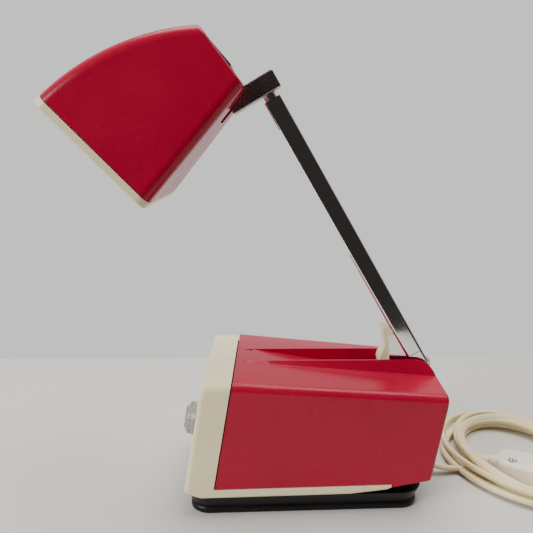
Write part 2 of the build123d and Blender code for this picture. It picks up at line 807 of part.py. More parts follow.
def head_round(radius, u, y, d0, d1):
    """A round piece along the head's depth."""
    with BuildPart(mode=Mode.PRIVATE) as piece:
        with BuildSketch(head_face.offset(d0)):
            with Locations((y, u)):
                Circle(radius)
        extrude(amount=d1 - d0)
    return piece.part


VENT_LOW, VENT_HIGH, VENT_HALF = -13.0, 5.0, 22.0
HINGE_SCREWS = ((15.0, 8.0), (-15.0, 8.0))
shell_front = RIM_DEPTH + RIM_GAP

with BuildPart() as head_shell:
    add(head_form(0, shell_front))
    back_edges = [
        e
        for e in head_shell.edges()
        if head_side.to_local_coords(e.center()).X > 83 and e.length > 5
    ]
    fillet(back_edges, 2.5)
    add(head_form(HEAD_WALL, -1), mode=Mode.SUBTRACT)
    # slot for the link, through the underside and round the corner into the back
    add(head_box(60.7, 95, -60, -18, LINK_HALF + 1), mode=Mode.SUBTRACT)
    add(head_box(80, 95, VENT_LOW, VENT_HIGH, VENT_HALF), mode=Mode.SUBTRACT)
    for y, u in HINGE_SCREWS:
        add(head_round(3.2, u, y, 81.3, 85.6))
        add(head_round(1.2, u, y, 80, 85.2), mode=Mode.SUBTRACT)
save(head_shell.part, "head_shell")

with BuildPart() as head_rim:
    add(head_form(0, 0, RIM_DEPTH))
    front_face = head_rim.faces().sort_by(Axis(head_face.origin, head_face.z_dir))[0]
    fillet(front_face.edges(), 1.2)
    add(head_form(HEAD_WALL + 0.3, RIM_DEPTH - 1, 10))
    add(head_form(5.4, -2, RIM_DEPTH + 0.01), mode=Mode.SUBTRACT)
    add(head_form(HEAD_WALL + 2.0, RIM_DEPTH, 12), mode=Mode.SUBTRACT)
save(head_rim.part, "head_rim")

with BuildPart() as vent_grille:
    add(head_box(83.4, 87.0, VENT_LOW + 0.1, VENT_HIGH - 0.1, VENT_HALF - 0.1))
    fillet(vent_grille.edges().filter_by(Axis.Y).sort_by(Axis.X)[-2:], 0.6)
    for step in range(6):
        u = VENT_LOW + 2.6 + step * 2.55
        add(head_box(80, 92, u - 0.7, u + 0.7, VENT_HALF - 3), mode=Mode.SUBTRACT)
save(vent_grille.part, "vent_grille")

with BuildPart() as head_hinge:
    add(
        pair_of_plates(
            [
                (77, -24.4), (81.2, -16), (81.2, 12), (79.4, 12), (79.4, -4), (69.5, -17),
                (69, -23), (71, -25.6),
            ],
            head_side,
            EAR_IN,
            EAR_OUT + 0.6,
        )
    )
    add(head_box(79.4, 81.2, -6, 12, 20))
    add(cross_pin(head_side, HEAD_PIN_D, HEAD_PIN_U, HEAD_PIN_RADIUS, 20), mode=Mode.SUBTRACT)
    for y, u in HINGE_SCREWS:
        add(head_round(1.6, u, y, 70, 90), mode=Mode.SUBTRACT)
save(head_hinge.part, "head_hinge")

with BuildPart() as head_hinge_screws:
    for y, u in HINGE_SCREWS:
        add(head_round(2.8, u, y, 77.6, 79.4))
        add(head_round(1.2, u, y, 79, 85.0))
save(head_hinge_screws.part, "head_hinge_screws")

with BuildPart() as head_pin:
    add(cross_pin(head_side, HEAD_PIN_D, HEAD_PIN_U, HEAD_PIN_RADIUS, EAR_OUT + 1.0))
save(head_pin.part, "head_pin")

with BuildPart() as head_washers:
    add(cross_pin(head_side, HEAD_PIN_D, HEAD_PIN_U, 4.4, EAR_IN - 0.05))
    add(
        cross_pin(head_side, HEAD_PIN_D, HEAD_PIN_U, HEAD_PIN_RADIUS + RUNNING, 20),
        mode=Mode.SUBTRACT,
    )
    add(
        cross_pin(head_side, HEAD_PIN_D, HEAD_PIN_U, 10, LINK_HALF + 0.05),
        mode=Mode.SUBTRACT,
    )
save(head_washers.part, "head_washers")


def dish(front, back, front_d, back_d, back_u):
    """A tapering block between two rounded rectangles, across the head's depth."""
    with BuildPart(mode=Mode.PRIVATE) as block:
        with BuildSketch(head_face.offset(front_d)):
            with Locations((0, -0.5)):
                RectangleRounded(2 * front[0], 2 * front[1], 8)
        with BuildSketch(head_face.offset(back_d)):
            with Locations((0, back_u)):
                RectangleRounded(2 * back[0], 2 * back[1], 8)
        loft(ruled=True)
    return block.part


SOCKET_RADIUS = 9.0
with BuildPart() as reflector:
    add(dish((43.2, 34.3), (20, 18), 5.0, 47.0, -2))
    add(dish((42.4, 33.5), (19.2, 17.2), 4.9, 46.2, -2), mode=Mode.SUBTRACT)
    add(head_round(SOCKET_RADIUS + 0.3, -2, 0, 40, 60), mode=Mode.SUBTRACT)
save(reflector.part, "reflector")

with BuildPart() as lamp_socket:
    add(head_round(SOCKET_RADIUS, -2, 0, 44, 63))
    add(head_round(SOCKET_RADIUS + 2, -2, 0, 47.2, 49))
    add(head_round(7.7, -2, 0, 43, 60), mode=Mode.SUBTRACT)
save(lamp_socket.part, "lamp_socket")

with BuildPart() as socket_bracket:
    add(head_box(63.05, 64.3, -9, 9, 7))
    add(head_box(63.05, 79.35, 7.8, 9, 7))
    add(head_box(78.1, 79.35, 1, 9, 7))
save(socket_bracket.part, "socket_bracket")

with BuildPart() as bulb_cap:
    add(head_round(7.5, -2, 0, 40.5, 58))
    add(head_round(2.2, -2, 0, 58, 59.8))
save(bulb_cap.part, "bulb_cap")

with BuildPart() as bulb_glass:
    globe_d, globe_r = 24.0, 14.5
    with BuildSketch(head_side):
        with BuildLine():
            Line((globe_d - globe_r, -2), (40.4, -2))
            Line((40.4, -2), (40.4, 5.2))
            Line((40.4, 5.2), (36.2, 5.2))
            Spline(
                (36.2, 5.2), (30.5, globe_r - 5.3), (24, globe_r - 2), (13.5, 7.8),
                (globe_d - globe_r, -2),
                tangents=((-1, 0.15), (0, -1)),
            )
        make_face()
    axis_point = head_side.from_local_coords(Vector(0, -2, 0))
    revolve(axis=Axis(axis_point, direction(OPENING_NORMAL - 180)), revolution_arc=360)
save(bulb_glass.part, "bulb_glass")


# ---------------------------------------------------------------- cord
def tube(points):
    """A flat flex along straight runs joined by tangent arcs; it prints the least radii."""
    vectors = [Vector(*point) for point in points]
    runs = [end - start for start, end in zip(vectors, vectors[1:])]
    radii = []
    for one, two in zip(runs, runs[1:]):
        half_turn = radians(one.get_angle(two)) / 2
        radii.append(0.45 * min(one.length, two.length) / tan(half_turn))
    with BuildPart(mode=Mode.PRIVATE) as flex:
        with BuildLine() as route:
            FilletPolyline(*points, radius=radii)
        with BuildSketch(Plane(points[0], x_dir=runs[0].cross(Vector(0, 0, 1)), z_dir=runs[0])):
            SlotOverall(CORD_WIDTH, CORD_THICK)
        sweep(path=route.wires()[0])
    section = CORD_THICK * (CORD_WIDTH - CORD_THICK) + pi * CORD_THICK**2 / 4
    length = route.wires()[0].length
    print("tube", round(length, 1), "mm long, volume against section times length", end=" ")
    print(round(flex.part.volume / section / length, 3), "radii", [round(r) for r in radii])
    return flex.part


with BuildPart() as cord_gland:
    with BuildSketch(Plane.YZ.offset(68)):
        with Locations((0, GLAND_Z)):
            Circle(GLAND_RADIUS - 0.05)
    extrude(amount=9)
    with BuildSketch(Plane.YZ.offset(66.6)):
        with Locations((0, GLAND_Z)):
            Rectangle(10, 9.4)
    extrude(amount=2)
    with BuildSketch(Plane.YZ.offset(77)):
        with Locations((0, GLAND_Z)):
            Circle(GLAND_RADIUS - 0.05)
    extrude(amount=7, taper=5)
save(cord_gland.part, "cord_gland")

cord_route = [(84, 0, 8), (91.5, -0.8, 7), (99, -1.2, 4.6), (106.3, -0.2, 3.1), (113, 2, 3)]
with BuildPart() as cord:
    add(tube(cord_route))
save(cord.part, "cord")

with BuildPart() as cord_hank:
    with BuildSketch(Plane.XY):
        with Locations((HANK_X, HANK_Y)):
            Ellipse(HANK_HALF_X, HANK_HALF_Y, rotation=HANK_TURN)
            Ellipse(
                HANK_HALF_X - HANK_BAND,
                HANK_HALF_Y - HANK_BAND,
                rotation=HANK_TURN,
                mode=Mode.SUBTRACT,
            )
    extrude(amount=HANK_HEIGHT)
    fillet(cord_hank.edges().group_by(Axis.Z)[-1], 4.0)
    fillet(cord_hank.edges().group_by(Axis.Z)[0], 2.0)
save(cord_hank.part, "cord_hank")

plug_flat = Plane((PLUG_X, PLUG_Y, PLUG_Z), x_dir=(0.86, -0.51, 0), z_dir=(0, 0, 1))
plug_across = Plane(plug_flat.origin, x_dir=plug_flat.y_dir, z_dir=plug_flat.x_dir)
lead_route = [(133, 3.5, 7), (127.5, 7.6, 6.8), (123, 12.5, 6.3)]
with BuildPart() as cord_plug_lead:
    add(tube(lead_route))
save(cord_plug_lead.part, "cord_plug_lead")

with BuildPart() as plug_body:
    with BuildSketch(plug_flat):
        RectangleRounded(PLUG_LENGTH, PLUG_WIDTH, 9)
    extrude(amount=PLUG_THICK / 2, both=True)
    fillet(plug_body.edges().group_by(Axis.Z)[-1], 3.0)
    fillet(plug_body.edges().group_by(Axis.Z)[0], 2.0)
    # tapered strain relief
    with BuildSketch(plug_across.offset(-PLUG_LENGTH / 2 + 2)):
        Circle(5.2)
    with BuildSketch(plug_across.offset(-PLUG_LENGTH / 2 - 5)):
        Circle(3.8)
    loft()
    with BuildSketch(plug_flat.offset(PLUG_THICK / 2)):
        with Locations((-6, -5)):
            Circle(3.2)
    extrude(amount=-3, mode=Mode.SUBTRACT)
save(plug_body.part, "plug_body")

with BuildPart() as plug_pins:
    with BuildSketch(plug_across.offset(PLUG_LENGTH / 2)):
        with Locations((-7, 0), (7, 0)):
            Circle(2.0)
    extrude(amount=17)
    fillet(plug_pins.edges().filter_by(GeomType.CIRCLE).sort_by(Axis.X)[-2:], 1.0)
save(plug_pins.part, "plug_pins")

with BuildPart() as plug_screw:
    with BuildSketch(plug_flat.offset(PLUG_THICK / 2 - 3)):
        with Locations((-6, -5)):
            Circle(2.9)
    extrude(amount=2.2)
    with BuildSketch(plug_flat.offset(PLUG_THICK / 2 - 0.8)):
        with Locations((-6, -5)):
            Rectangle(4.6, 0.9, rotation=30)
    extrude(amount=-0.8, mode=Mode.SUBTRACT)
save(plug_screw.part, "plug_screw")
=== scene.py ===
# %% [markdown]
# A folding desk lamp with a red and cream box base, one chrome arm and a red box head. The exact parts
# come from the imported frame, in metres, and this script gives them finishes and adds what a drawing of
# flat solids can't show: the flex wound into its coil, the knob's ribs, the gland's rings, the plug's
# grip bars and the bulb's filament.

import json
import math

import bmesh
import bpy
from mathutils import Matrix, Vector


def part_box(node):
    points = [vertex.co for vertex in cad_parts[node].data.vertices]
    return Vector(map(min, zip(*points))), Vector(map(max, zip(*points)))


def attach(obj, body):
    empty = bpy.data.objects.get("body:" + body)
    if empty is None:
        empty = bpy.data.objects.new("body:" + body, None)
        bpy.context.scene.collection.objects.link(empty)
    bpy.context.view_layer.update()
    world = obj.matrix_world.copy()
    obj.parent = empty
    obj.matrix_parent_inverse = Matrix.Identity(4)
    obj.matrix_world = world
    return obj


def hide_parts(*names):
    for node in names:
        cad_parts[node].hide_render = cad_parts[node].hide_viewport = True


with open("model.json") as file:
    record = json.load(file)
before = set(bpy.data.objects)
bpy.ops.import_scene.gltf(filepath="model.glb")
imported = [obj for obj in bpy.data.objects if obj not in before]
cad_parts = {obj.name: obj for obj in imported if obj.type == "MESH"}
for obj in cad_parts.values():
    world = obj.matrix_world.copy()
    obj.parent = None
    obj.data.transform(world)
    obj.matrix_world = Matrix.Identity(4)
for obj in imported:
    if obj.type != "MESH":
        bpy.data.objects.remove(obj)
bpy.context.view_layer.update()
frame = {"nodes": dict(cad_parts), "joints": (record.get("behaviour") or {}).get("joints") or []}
nodes = frame["nodes"]

# %% [markdown]
# The camera stands low and close, a little above the head's rim, and looks slightly down. Its direction
# is made from three turns: a little yaw, almost twelve degrees of pitch and half a degree of roll. A
# matrix whose columns are right, up and backwards places it in one step.

# %% Camera
CAMERA_AT = Vector((-0.0179, -0.3636, 0.2220))
YAW, PITCH, ROLL = math.radians(-0.4), math.radians(11.8), math.radians(-0.5)

forward = Vector(
    (math.sin(YAW) * math.cos(PITCH), math.cos(YAW) * math.cos(PITCH), -math.sin(PITCH))
)
level = Vector((math.cos(YAW), -math.sin(YAW), 0))
upright = level.cross(forward)
right = math.cos(ROLL) * level + math.sin(ROLL) * upright
up = math.cos(ROLL) * upright - math.sin(ROLL) * level

camera_data = bpy.data.cameras.new("camera")
camera_data.sensor_width = 36.0
camera_data.lens = 39.2
camera_data.clip_start = 0.01
camera = bpy.data.objects.new("camera", camera_data)
bpy.context.scene.collection.objects.link(camera)
camera.matrix_world = Matrix.Translation(CAMERA_AT) @ Matrix((right, up, -forward)).transposed().to_4x4()
bpy.context.scene.camera = camera

# %% [markdown]
# Three small helpers are used further down: one turns points and faces into an object, one eases a
# share between nought and one, and one reads a height from a smooth line through a few stops.


# %% Helpers for meshes
def new_object(name, vertices, faces, smooth=True):
    mesh = bpy.data.meshes.new(name)
    mesh.from_pydata([tuple(v) for v in vertices], [], faces)
    mesh.validate()
    mesh.update()
    mesh.shade_smooth() if smooth else mesh.shade_flat()
    piece = bpy.data.objects.new(name, mesh)
    bpy.context.scene.collection.objects.link(piece)
    return piece


def ease(share):
    share = min(max(share, 0.0), 1.0)
    return share * share * (3 - 2 * share)


def between(value, stops):
    """The height at value of a smooth line through (place, height) stops."""
    for (a, low), (b, high) in zip(stops, stops[1:]):
        if value <= b:
            return low + (high - low) * ease((value - a) / (b - a))
    return stops[-1][1]


# %% [markdown]
# The mains flex is a flat two-core cord, 6 mm wide and 1.8 m long. It leaves the gland at the back of
# the foot, drops on to the table and winds almost six turns on an oval that is turned by twelve degrees.
# The coil lies loose: the first turns are on the table and the later ones on top of them, each a little
# out of line with the next. The last turn comes inside and meets the plug. A loop works the turns out,
# and a NURBS line that follows all the points gives one smooth centre line.

# %% Route of the flex
HANK_AT, HANK_TURN = Vector((0.158, 0.013, 0)), math.radians(12)
HANK_HALF_X, HANK_HALF_Y = 0.0415, 0.0563
FIRST_ANGLE, LAST_ANGLE = math.radians(212), math.radians(168 + 6 * 360)
STEPS_A_TURN = 16
ON_TABLE = 0.0031

# from the gland down to the table, and from the coil's inside up to the plug
leaving = [
    (0.084, 0, 0.008),
    (0.0915, -0.0008, 0.007),
    (0.099, -0.0012, 0.0046),
    (0.1063, -0.0002, 0.0031),
    (0.1145, 0.0, 0.0030),
    (0.1225, -0.0055, 0.0030),
]
arriving = [(0.123, 0.0125, 0.0068), (0.1275, 0.0076, 0.0070), (0.133, 0.0035, 0.0070)]

# distance out from the middle oval, and height, for each turn that has been laid
OUT_STOPS = [
    (0, -0.0052),
    (0.9, -0.0030),
    (1.6, 0.0012),
    (2.5, 0.0058),
    (3.3, 0.0040),
    (4.2, -0.0022),
    (5.9, -0.0068),
]
HEIGHT_STOPS = [(0, ON_TABLE), (2.35, ON_TABLE), (3.1, 0.0085), (5.2, 0.0090), (5.9, 0.0072)]
SPRUNG_AT, SPRUNG_WIDTH, SPRUNG_OUT = math.radians(160 + 2 * 360), 0.55, 0.0045


def coil_point(angle):
    turns = (angle - FIRST_ANGLE) / math.tau
    out = between(turns, OUT_STOPS)
    out += 0.0024 * math.sin(angle + 2.1 * turns) + 0.0013 * math.sin(2 * angle + 1.3 * turns)
    # one turn on the table has sprung out on the side next to the lamp
    out += SPRUNG_OUT * math.exp(-(((angle - SPRUNG_AT) / SPRUNG_WIDTH) ** 2))
    place = Vector((math.cos(angle) * (HANK_HALF_X + out), math.sin(angle) * (HANK_HALF_Y + out), 0))
    place = Matrix.Rotation(HANK_TURN, 3, "Z") @ place
    height = between(turns, HEIGHT_STOPS) + 0.0009 * math.sin(3 * angle + turns)
    return HANK_AT + place + Vector((0, 0, max(height, ON_TABLE)))


count = round((LAST_ANGLE - FIRST_ANGLE) / math.tau * STEPS_A_TURN)
wound = [coil_point(FIRST_ANGLE + (LAST_ANGLE - FIRST_ANGLE) * i / count) for i in range(count + 1)]
route = [Vector(p) for p in leaving] + wound + [Vector(p) for p in arriving]


def smooth_line(points, name):
    """Points read from the NURBS line that follows a route."""
    curve = bpy.data.curves.new(name, "CURVE")
    curve.dimensions = "3D"
    curve.resolution_u = 8
    spline = curve.splines.new("NURBS")
    spline.points.add(len(points) - 1)
    for control, point in zip(spline.points, points):
        control.co = (*point, 1)
    spline.order_u = 3
    spline.use_endpoint_u = True
    carrier = bpy.data.objects.new(name, curve)
    bpy.context.scene.collection.objects.link(carrier)
    bpy.context.view_layer.update()
    graph = bpy.context.evaluated_depsgraph_get()
    mesh = bpy.data.meshes.new_from_object(carrier.evaluated_get(graph))
    line = [v.co.copy() for v in mesh.vertices]
    bpy.data.objects.remove(carrier)
    bpy.data.meshes.remove(mesh)
    return line


flex_line = smooth_line(route, "flex_line")
flex_length = sum((b - a).length for a, b in zip(flex_line, flex_line[1:]))
print("flex", round(flex_length, 3), "m,", len(flex_line), "points")

# %% [markdown]
# The flex's section is a flat oval with a faint waist between its two cores. Swept along the line, it
# rolls slowly to one side and the other, as a flat cord does when it is wound by hand. The sweep stores
# the distance along the cord and round it as a UV map, so that the finish can run along the cord.

# %% Sweep the flex
FLEX_WIDTH, FLEX_THICK = 0.0060, 0.0039
WAIST_DEPTH, WAIST_WIDTH = 0.16, 0.0009
SQUARENESS = 0.72  # 1 is an ellipse, and less is squarer
AROUND = 20
UV_PER_METRE = 20


def flex_section(turn):
    """Points round the section, rolled by an angle."""
    points = []
    for k in range(AROUND):
        a = math.tau * k / AROUND
        x = math.copysign(abs(math.cos(a)) ** SQUARENESS, math.cos(a)) * FLEX_WIDTH / 2
        waist = 1 - WAIST_DEPTH * math.exp(-((x / WAIST_WIDTH) ** 2))
        y = math.sin(a) * FLEX_THICK / 2 * waist
        points.append((x * math.cos(turn) - y * math.sin(turn), x * math.sin(turn) + y * math.cos(turn)))
    return points


def sweep(name, line, section_at):
    """A closed tube whose section at each distance along the line is given by section_at."""
    vertices, faces = [], []
    distance, distances = 0.0, [0.0]
    for a, b in zip(line, line[1:]):
        distance += (b - a).length
        distances.append(distance)
    for i, centre in enumerate(line):
        tangent = (line[min(i + 1, len(line) - 1)] - line[max(i - 1, 0)]).normalized()
        side = tangent.cross(Vector((0, 0, 1))).normalized()
        top = side.cross(tangent)
        vertices += [centre + side * x + top * y for x, y in section_at(distances[i])]
    size = len(section_at(0))
    for i in range(len(line) - 1):
        for k in range(size):
            n = (k + 1) % size
            faces.append((i * size + k, i * size + n, (i + 1) * size + n, (i + 1) * size + k))
    faces.append(tuple(reversed(range(size))))
    faces.append(tuple(range(len(vertices) - size, len(vertices))))
    piece = new_object(name, vertices, faces)
    layer = piece.data.uv_layers.new(name="along")
    for polygon in piece.data.polygons:
        for corner in polygon.loop_indices:
            vertex = piece.data.loops[corner].vertex_index
            layer.data[corner].uv = (distances[vertex // size] * UV_PER_METRE, vertex % size / size)
    mesh = bmesh.new()
    mesh.from_mesh(piece.data)
    bmesh.ops.recalc_face_normals(mesh, faces=mesh.faces)
    mesh.to_mesh(piece.data)
    mesh.free()
    return piece


def flex_roll(distance):
    """How far the cord has rolled, in radians, once it has left the gland."""
    settle = ease(distance / 0.05)
    return settle * (0.35 + 0.75 * math.sin(distance * 9.0) + 0.4 * math.sin(distance * 23.0 + 1.0))


flex = sweep("flex", flex_line, lambda distance: flex_section(flex_roll(distance)))
print("flex triangles", len(flex.data.polygons) * 2)

# %% [markdown]
# Most parts here are moulded plastic or plated metal. Each finish starts from one helper that makes a
# Principled material whose colour, roughness and fine bump vary with noise read from object
# coordinates, so that the pattern stays on the part. The sizes are in metres, so noise with a scale of
# 900 has grain of about a millimetre.


# %% Helper for finishes
def finish(name, color, rough, metal=0.0, grain=900.0, bump=0.03, cloud=22.0, spread=0.06, **sockets):
    """A procedural finish: cloudy tone, uneven gloss and fine grain."""
    material = bpy.data.materials.new(name)
    material.use_nodes = True
    tree = material.node_tree
    tree.nodes.clear()
    link, add = tree.links.new, tree.nodes.new
    out = add("ShaderNodeOutputMaterial")
    shader = add("ShaderNodeBsdfPrincipled")
    shader.name = "shader"
    link(shader.outputs["BSDF"], out.inputs["Surface"])
    place = add("ShaderNodeTexCoord")
    place.name = "place"

    def noise(scale, detail):
        node = add("ShaderNodeTexNoise")
        node.inputs["Scale"].default_value = scale
        node.inputs["Detail"].default_value = detail
        link(place.outputs["Object"], node.inputs["Vector"])
        return node.outputs["Fac"]

    tone = add("ShaderNodeValToRGB")
    tone.name = "tone"
    tone.color_ramp.elements[0].position = 0.30
    tone.color_ramp.elements[0].color = (*[c * (1 - spread) for c in color], 1)
    tone.color_ramp.elements[1].position = 0.70
    tone.color_ramp.elements[1].color = (*[min(c * (1 + spread), 1) for c in color], 1)
    link(noise(cloud, 4), tone.inputs["Fac"])
    link(tone.outputs["Color"], shader.inputs["Base Color"])

    gloss = add("ShaderNodeMapRange")
    gloss.name = "gloss"
    gloss.inputs["From Min"].default_value = 0.3
    gloss.inputs["From Max"].default_value = 0.7
    gloss.inputs["To Min"].default_value = rough[0]
    gloss.inputs["To Max"].default_value = rough[1]
    link(noise(cloud * 2.7, 6), gloss.inputs["Value"])
    link(gloss.outputs["Result"], shader.inputs["Roughness"])

    relief = add("ShaderNodeBump")
    relief.name = "relief"
    relief.inputs["Strength"].default_value = bump
    relief.inputs["Distance"].default_value = 0.0003
    link(noise(grain, 3), relief.inputs["Height"])
    link(relief.outputs["Normal"], shader.inputs["Normal"])

    shader.inputs["Metallic"].default_value = metal
    for socket, value in sockets.items():
        shader.inputs[socket.replace("_", " ")].default_value = value
    return material


# %% [markdown]
# The red and cream mouldings are hard glossy plastic that has been handled for years. Under the gloss
# the colour is even; what shows is dust. A Voronoi texture gives the distance to scattered points, and
# only the places closest to a point pass and mix a pale dust colour over the base.


# %% Moulded plastics
def dust(material, tint, amount, scale=420.0):
    """Adds rare pale specks over a finish's colour."""
    tree = material.node_tree
    link, add = tree.links.new, tree.nodes.new
    specks = add("ShaderNodeTexVoronoi")
    specks.inputs["Scale"].default_value = scale
    link(tree.nodes["place"].outputs["Object"], specks.inputs["Vector"])
    cut = add("ShaderNodeMapRange")
    cut.inputs["From Min"].default_value = 0.10
    cut.inputs["From Max"].default_value = 0.04
    cut.inputs["To Max"].default_value = amount
    link(specks.outputs["Distance"], cut.inputs["Value"])
    blend = add("ShaderNodeMix")
    blend.data_type = "RGBA"
    link(cut.outputs["Result"], blend.inputs["Factor"])
    link(tree.nodes["tone"].outputs["Color"], blend.inputs["A"])
    blend.inputs["B"].default_value = (*tint, 1)
    link(blend.outputs["Result"], tree.nodes["shader"].inputs["Base Color"])


red = finish(
    "red_plastic", (0.38, 0.005, 0.030), (0.20, 0.30), bump=0.05, grain=1500, Specular_IOR_Level=0.26
)
dust(red, (0.50, 0.22, 0.22), 0.25)
cream = finish("cream_plastic", (0.86, 0.76, 0.47), (0.24, 0.36), bump=0.04, grain=1300, spread=0.03)
dust(cream, (0.42, 0.36, 0.25), 0.35)
rim_cream = finish("rim_plastic", (0.84, 0.74, 0.46), (0.26, 0.38), bump=0.04, grain=1300, spread=0.03)
black = finish(
    "black_plastic",
    (0.006, 0.005, 0.005),
    (0.28, 0.45),
    bump=0.10,
    grain=1100,
    spread=0.25,
    Specular_IOR_Level=0.25,
)
dust(black, (0.20, 0.18, 0.17), 0.35, 520)
grey = finish("grey_plastic", (0.36, 0.34, 0.32), (0.22, 0.34), bump=0.04, spread=0.05)
plug_white = finish("plug_plastic", (0.84, 0.78, 0.66), (0.25, 0.40), bump=0.06, spread=0.06)
bakelite = finish("dark_insulation", (0.030, 0.022, 0.016), (0.30, 0.45), bump=0.08, spread=0.25)
rubber = finish("rubber", (0.018, 0.018, 0.018), (0.65, 0.85), bump=0.30, grain=1800, spread=0.20)

# %% [markdown]
# Chrome is a mirror with wipe marks, a polished dark plate is a mirror that swallows half the light, and
# bare hardware is duller. Fine scratches on the arm run along it: a noise squeezed by a Mapping node
# that is turned to the arm's angle makes them.

# %% Metals
ARM_TILT = math.radians(119.7)


def brushed(material, angle, strength):
    """Turns a finish's grain into scratches along a line in the XZ plane."""
    tree = material.node_tree
    link, add = tree.links.new, tree.nodes.new
    turn = add("ShaderNodeMapping")
    turn.inputs["Rotation"].default_value = (0, angle, 0)
    squeeze = add("ShaderNodeMapping")
    squeeze.inputs["Scale"].default_value = (0.02, 1.0, 1.0)
    link(tree.nodes["place"].outputs["Object"], turn.inputs["Vector"])
    link(turn.outputs["Vector"], squeeze.inputs["Vector"])
    lines = add("ShaderNodeTexNoise")
    lines.inputs["Scale"].default_value = 1600
    lines.inputs["Detail"].default_value = 4
    link(squeeze.outputs["Vector"], lines.inputs["Vector"])
    relief = tree.nodes["relief"]
    relief.inputs["Strength"].default_value = strength
    link(lines.outputs["Fac"], relief.inputs["Height"])


chrome = finish("chrome", (0.80, 0.79, 0.80), (0.04, 0.11), metal=1.0, spread=0.03)
brushed(chrome, ARM_TILT, 0.03)
gunmetal = finish("gunmetal", (0.42, 0.34, 0.34), (0.16, 0.28), metal=1.0, spread=0.12)
brushed(gunmetal, ARM_TILT, 0.06)
steel = finish("steel", (0.52, 0.51, 0.50), (0.25, 0.42), metal=1.0, spread=0.10, bump=0.06)
brass = finish("brass", (0.62, 0.50, 0.30), (0.22, 0.38), metal=1.0, spread=0.10)
core_iron = finish("core_iron", (0.11, 0.10, 0.09), (0.40, 0.60), metal=0.8, spread=0.25, bump=0.2)
copper = finish("winding", (0.55, 0.22, 0.09), (0.25, 0.35), metal=0.9, spread=0.10)
mirror_metal = finish("reflector_metal", (0.85, 0.85, 0.83), (0.18, 0.28), metal=1.0, bump=0.05)


# %% [markdown]
# The sheets of the transformer's core and the wires of its coil repeat far below a millimetre, so they
# are bands in the finish: a wave texture drives the bump. The bulb is thin clear glass.


# %% Banded finishes and glass
def banded(material, axis, scale, strength):
    """Turns a finish's grain into even bands across an axis."""
    tree = material.node_tree
    link, add = tree.links.new, tree.nodes.new
    bands = add("ShaderNodeTexWave")
    bands.bands_direction = axis
    bands.inputs["Scale"].default_value = scale
    link(tree.nodes["place"].outputs["Object"], bands.inputs["Vector"])
    relief = tree.nodes["relief"]
    relief.inputs["Strength"].default_value = strength
    link(bands.outputs["Fac"], relief.inputs["Height"])


banded(core_iron, "Y", 320.0, 0.6)
banded(copper, "Z", 260.0, 0.8)

glass = finish(
    "bulb_glass",
    (0.97, 0.97, 0.95),
    (0.02, 0.05),
    bump=0.01,
    spread=0.01,
    Transmission_Weight=1.0,
    IOR=1.15,
)

# %% [markdown]
# The flex's soft plastic has gone from white to ivory. Its finish reads the cord's own UV map: long soft
# streaks of a warmer tone run along it, with a little grime where it has been handled.

# %% Flex finish
ivory = finish(
    "cord_plastic",
    (0.88, 0.76, 0.46),
    (0.36, 0.50),
    bump=0.05,
    spread=0.05,
    Subsurface_Weight=0.15,
    Subsurface_Radius=(0.004, 0.003, 0.0015),
    Subsurface_Scale=0.5,
)


def along_cord(material, warm):
    """Adds long warm streaks that follow the cord's UV map."""
    tree = material.node_tree
    link, add = tree.links.new, tree.nodes.new
    uv = add("ShaderNodeUVMap")
    uv.uv_map = "along"
    stretch = add("ShaderNodeMapping")
    stretch.inputs["Scale"].default_value = (0.6, 3.0, 1.0)
    streaks = add("ShaderNodeTexNoise")
    streaks.inputs["Scale"].default_value = 2.2
    streaks.inputs["Detail"].default_value = 5
    link(uv.outputs["UV"], stretch.inputs["Vector"])
    link(stretch.outputs["Vector"], streaks.inputs["Vector"])
    cut = add("ShaderNodeMapRange")
    cut.inputs["From Min"].default_value = 0.45
    cut.inputs["From Max"].default_value = 0.75
    cut.inputs["To Max"].default_value = 0.55
    link(streaks.outputs["Fac"], cut.inputs["Value"])
    blend = add("ShaderNodeMix")
    blend.data_type = "RGBA"
    link(cut.outputs["Result"], blend.inputs["Factor"])
    link(tree.nodes["tone"].outputs["Color"], blend.inputs["A"])
    blend.inputs["B"].default_value = (*warm, 1)
    link(blend.outputs["Result"], tree.nodes["shader"].inputs["Base Color"])


along_cord(ivory, (0.74, 0.56, 0.28))

# %% [markdown]
# Every node of the frame gets its finish from one table of finish to nodes. The slots stay as the frame
# made them; only what they hold is changed.

# %% Finishes for the frame's parts
FINISHES = {
    red: ["base_cover", "head_shell"],
    cream: ["front_panel", "arm_root_block"],
    rim_cream: ["head_rim"],
    black: ["foot_plinth", "seam_strip", "cord_gland", "vent_grille"],
    grey: ["switch_knob"],
    plug_white: ["plug_body"],
    bakelite: [
        "terminal_block", "friction_washers", "switch_body", "arm_end_bush", "head_washers", "lamp_socket",
    ],
    rubber: ["rubber_feet"],
    chrome: ["arm_tube", "neck_stem", "arm_rivets"],
    gunmetal: ["head_link"],
    steel: [
        "base_screws", "transformer_strap", "hinge_bracket", "hinge_bracket_screws", "arm_pivot_pin",
        "switch_nut", "switch_shaft", "neck_nut", "head_hinge", "head_hinge_screws",
        "head_pin", "socket_bracket", "plug_screw",
    ],
    brass: ["plug_pins", "bulb_cap"],
    core_iron: ["transformer_core"],
    copper: ["transformer_coil"],
    mirror_metal: ["reflector"],
    glass: ["bulb_glass"],
    ivory: ["cord", "cord_hank", "cord_plug_lead", "arm_lead"],
}
for material, names in FINISHES.items():
    for name in names:
        for holder in nodes[name].material_slots:
            holder.material = material
        if not nodes[name].material_slots:
            nodes[name].data.materials.append(material)
print("finished", sum(len(names) for names in FINISHES.values()), "nodes of", len(nodes))

flex.data.materials.append(ivory)
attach(flex, "base")
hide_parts("cord", "cord_hank", "cord_plug_lead")

